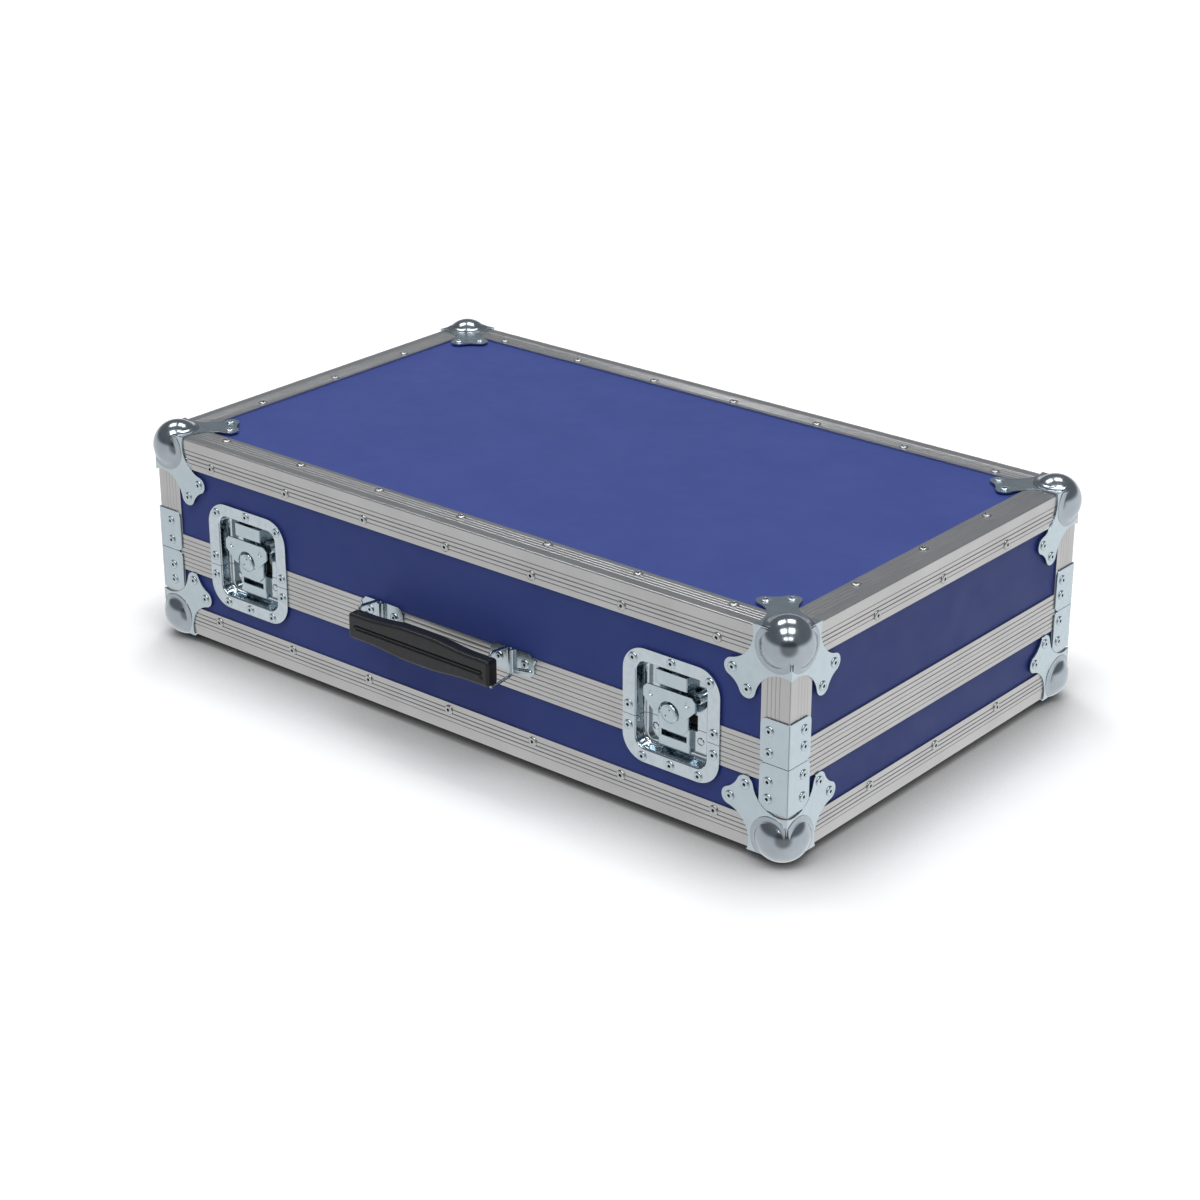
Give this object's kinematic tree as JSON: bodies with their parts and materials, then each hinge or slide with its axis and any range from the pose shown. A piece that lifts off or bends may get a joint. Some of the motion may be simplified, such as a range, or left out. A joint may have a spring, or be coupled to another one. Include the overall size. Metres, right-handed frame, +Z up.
{
  "type": "flight case",
  "caption": "Shallow foam-lined flight case with a rear-hinged lid, ball corners, grooved aluminium edges, recessed turn latches and a folding front handle.",
  "frame": {"origin": "under the middle of the whole case, on the surface that the bottom ball corners stand on", "axes": "+Z up; +X to the right along the long front; the front with latches and handle faces -Y"},
  "size_m": [0.789, 0.5012, 0.2265],
  "materials": {
    "laminated_panel": "plywood faced with satin blue laminate",
    "extrusion": "satin anodised aluminium",
    "zinc_steel": "zinc-plated pressed steel",
    "ball_steel": "polished plated steel",
    "rivet_steel": "plated rivets",
    "grip_plastic": "moulded black plastic",
    "foam": "charcoal polyethylene foam"
  },
  "bodies": {
    "base": {"base_back_edge": "extrusion", "base_back_panel": "laminated_panel", "base_back_rim": "extrusion", "base_ball_corners": "ball_steel", "base_corner_braces": "zinc_steel", "base_floor_foam": "foam", "base_floor_panel": "laminated_panel", "base_front_edge": "extrusion", "base_front_panel": "laminated_panel", "base_front_rim": "extrusion", "base_left_edge": "extrusion", "base_left_panel": "laminated_panel", "base_left_rim": "extrusion", "base_right_edge": "extrusion", "base_right_panel": "laminated_panel", "base_right_rim": "extrusion", "base_rivets": "rivet_steel", "base_uprights": "extrusion", "base_wall_foam": "foam", "hinge_base_leaves": "zinc_steel", "hinge_pins": "zinc_steel", "latch_left_base_plate": "zinc_steel", "latch_left_keeper": "zinc_steel", "latch_right_base_plate": "zinc_steel", "latch_right_keeper": "zinc_steel"},
    "lid": {"handle_brackets": "zinc_steel", "hinge_lid_leaves": "zinc_steel", "latch_left_bridge": "zinc_steel", "latch_left_lid_plate": "zinc_steel", "latch_right_bridge": "zinc_steel", "latch_right_lid_plate": "zinc_steel", "lid_back_edge": "extrusion", "lid_back_panel": "laminated_panel", "lid_back_rim": "extrusion", "lid_ball_corners": "ball_steel", "lid_corner_braces": "zinc_steel", "lid_front_edge": "extrusion", "lid_front_panel": "laminated_panel", "lid_front_rim": "extrusion", "lid_left_edge": "extrusion", "lid_left_panel": "laminated_panel", "lid_left_rim": "extrusion", "lid_right_edge": "extrusion", "lid_right_panel": "laminated_panel", "lid_right_rim": "extrusion", "lid_rivets": "rivet_steel", "lid_top_foam": "foam", "lid_top_panel": "laminated_panel", "lid_uprights": "extrusion", "lid_wall_foam": "foam"},
    "handle_grip": {"handle_grip": "grip_plastic"},
    "handle_left_loop": {"handle_left_loop": "zinc_steel"},
    "handle_right_loop": {"handle_right_loop": "zinc_steel"},
    "latch_left_claw": {"latch_left_claw": "zinc_steel"},
    "latch_left_hub": {"latch_left_hub": "zinc_steel"},
    "latch_left_wing": {"latch_left_wing": "zinc_steel"},
    "latch_right_claw": {"latch_right_claw": "zinc_steel"},
    "latch_right_hub": {"latch_right_hub": "zinc_steel"},
    "latch_right_wing": {"latch_right_wing": "zinc_steel"}
  },
  "joints": [
    {"name": "lid_hinge", "type": "hinge", "parent": "base", "child": "lid", "pos_m": [0, 0.24615, 0.0955], "axis": [-1, 0, 0], "range_deg": [0, 100]},
    {"name": "latch_left_turn", "type": "hinge", "parent": "lid", "child": "latch_left_hub", "pos_m": [-0.2635, -0.20985, 0.1086], "axis": [0, 1, 0], "range_deg": [0, 180]},
    {"name": "latch_left_fold", "type": "hinge", "parent": "latch_left_hub", "child": "latch_left_wing", "pos_m": [-0.2635, -0.20905, 0.1086], "axis": [1, 0, 0], "range_deg": [0, 90]},
    {"name": "latch_left_slide", "type": "slide", "parent": "lid", "child": "latch_left_claw", "axis": [0, 0, -1], "range_m": [0, 0.006]},
    {"name": "latch_right_turn", "type": "hinge", "parent": "lid", "child": "latch_right_hub", "pos_m": [0.2585, -0.20985, 0.1086], "axis": [0, 1, 0], "range_deg": [0, 180]},
    {"name": "latch_right_fold", "type": "hinge", "parent": "latch_right_hub", "child": "latch_right_wing", "pos_m": [0.2585, -0.20905, 0.1086], "axis": [1, 0, 0], "range_deg": [0, 90]},
    {"name": "latch_right_slide", "type": "slide", "parent": "lid", "child": "latch_right_claw", "axis": [0, 0, -1], "range_m": [0, 0.006]},
    {"name": "handle_left_swing", "type": "hinge", "parent": "lid", "child": "handle_left_loop", "pos_m": [-0.0805, -0.21285, 0.1069], "axis": [0, 0, 1], "range_deg": [-70, 70]},
    {"name": "handle_right_swing", "type": "hinge", "parent": "lid", "child": "handle_right_loop", "pos_m": [0.0805, -0.21285, 0.1069], "axis": [0, 0, 1], "range_deg": [-70, 70]},
    {"name": "handle_grip_turn", "type": "hinge", "parent": "handle_left_loop", "child": "handle_grip", "pos_m": [-0.0805, -0.24085, 0.1069], "axis": [0, 0, 1], "range_deg": [-70, 70]}
  ],
  "couplings": [
    {"joint": "latch_left_slide", "follows": "latch_left_turn", "m_per_rad": 0.0019099},
    {"joint": "latch_right_slide", "follows": "latch_right_turn", "m_per_rad": 0.0019099},
    {"joint": "handle_right_swing", "follows": "handle_left_swing", "ratio": 1},
    {"joint": "handle_grip_turn", "follows": "handle_left_swing", "ratio": -1}
  ]
}
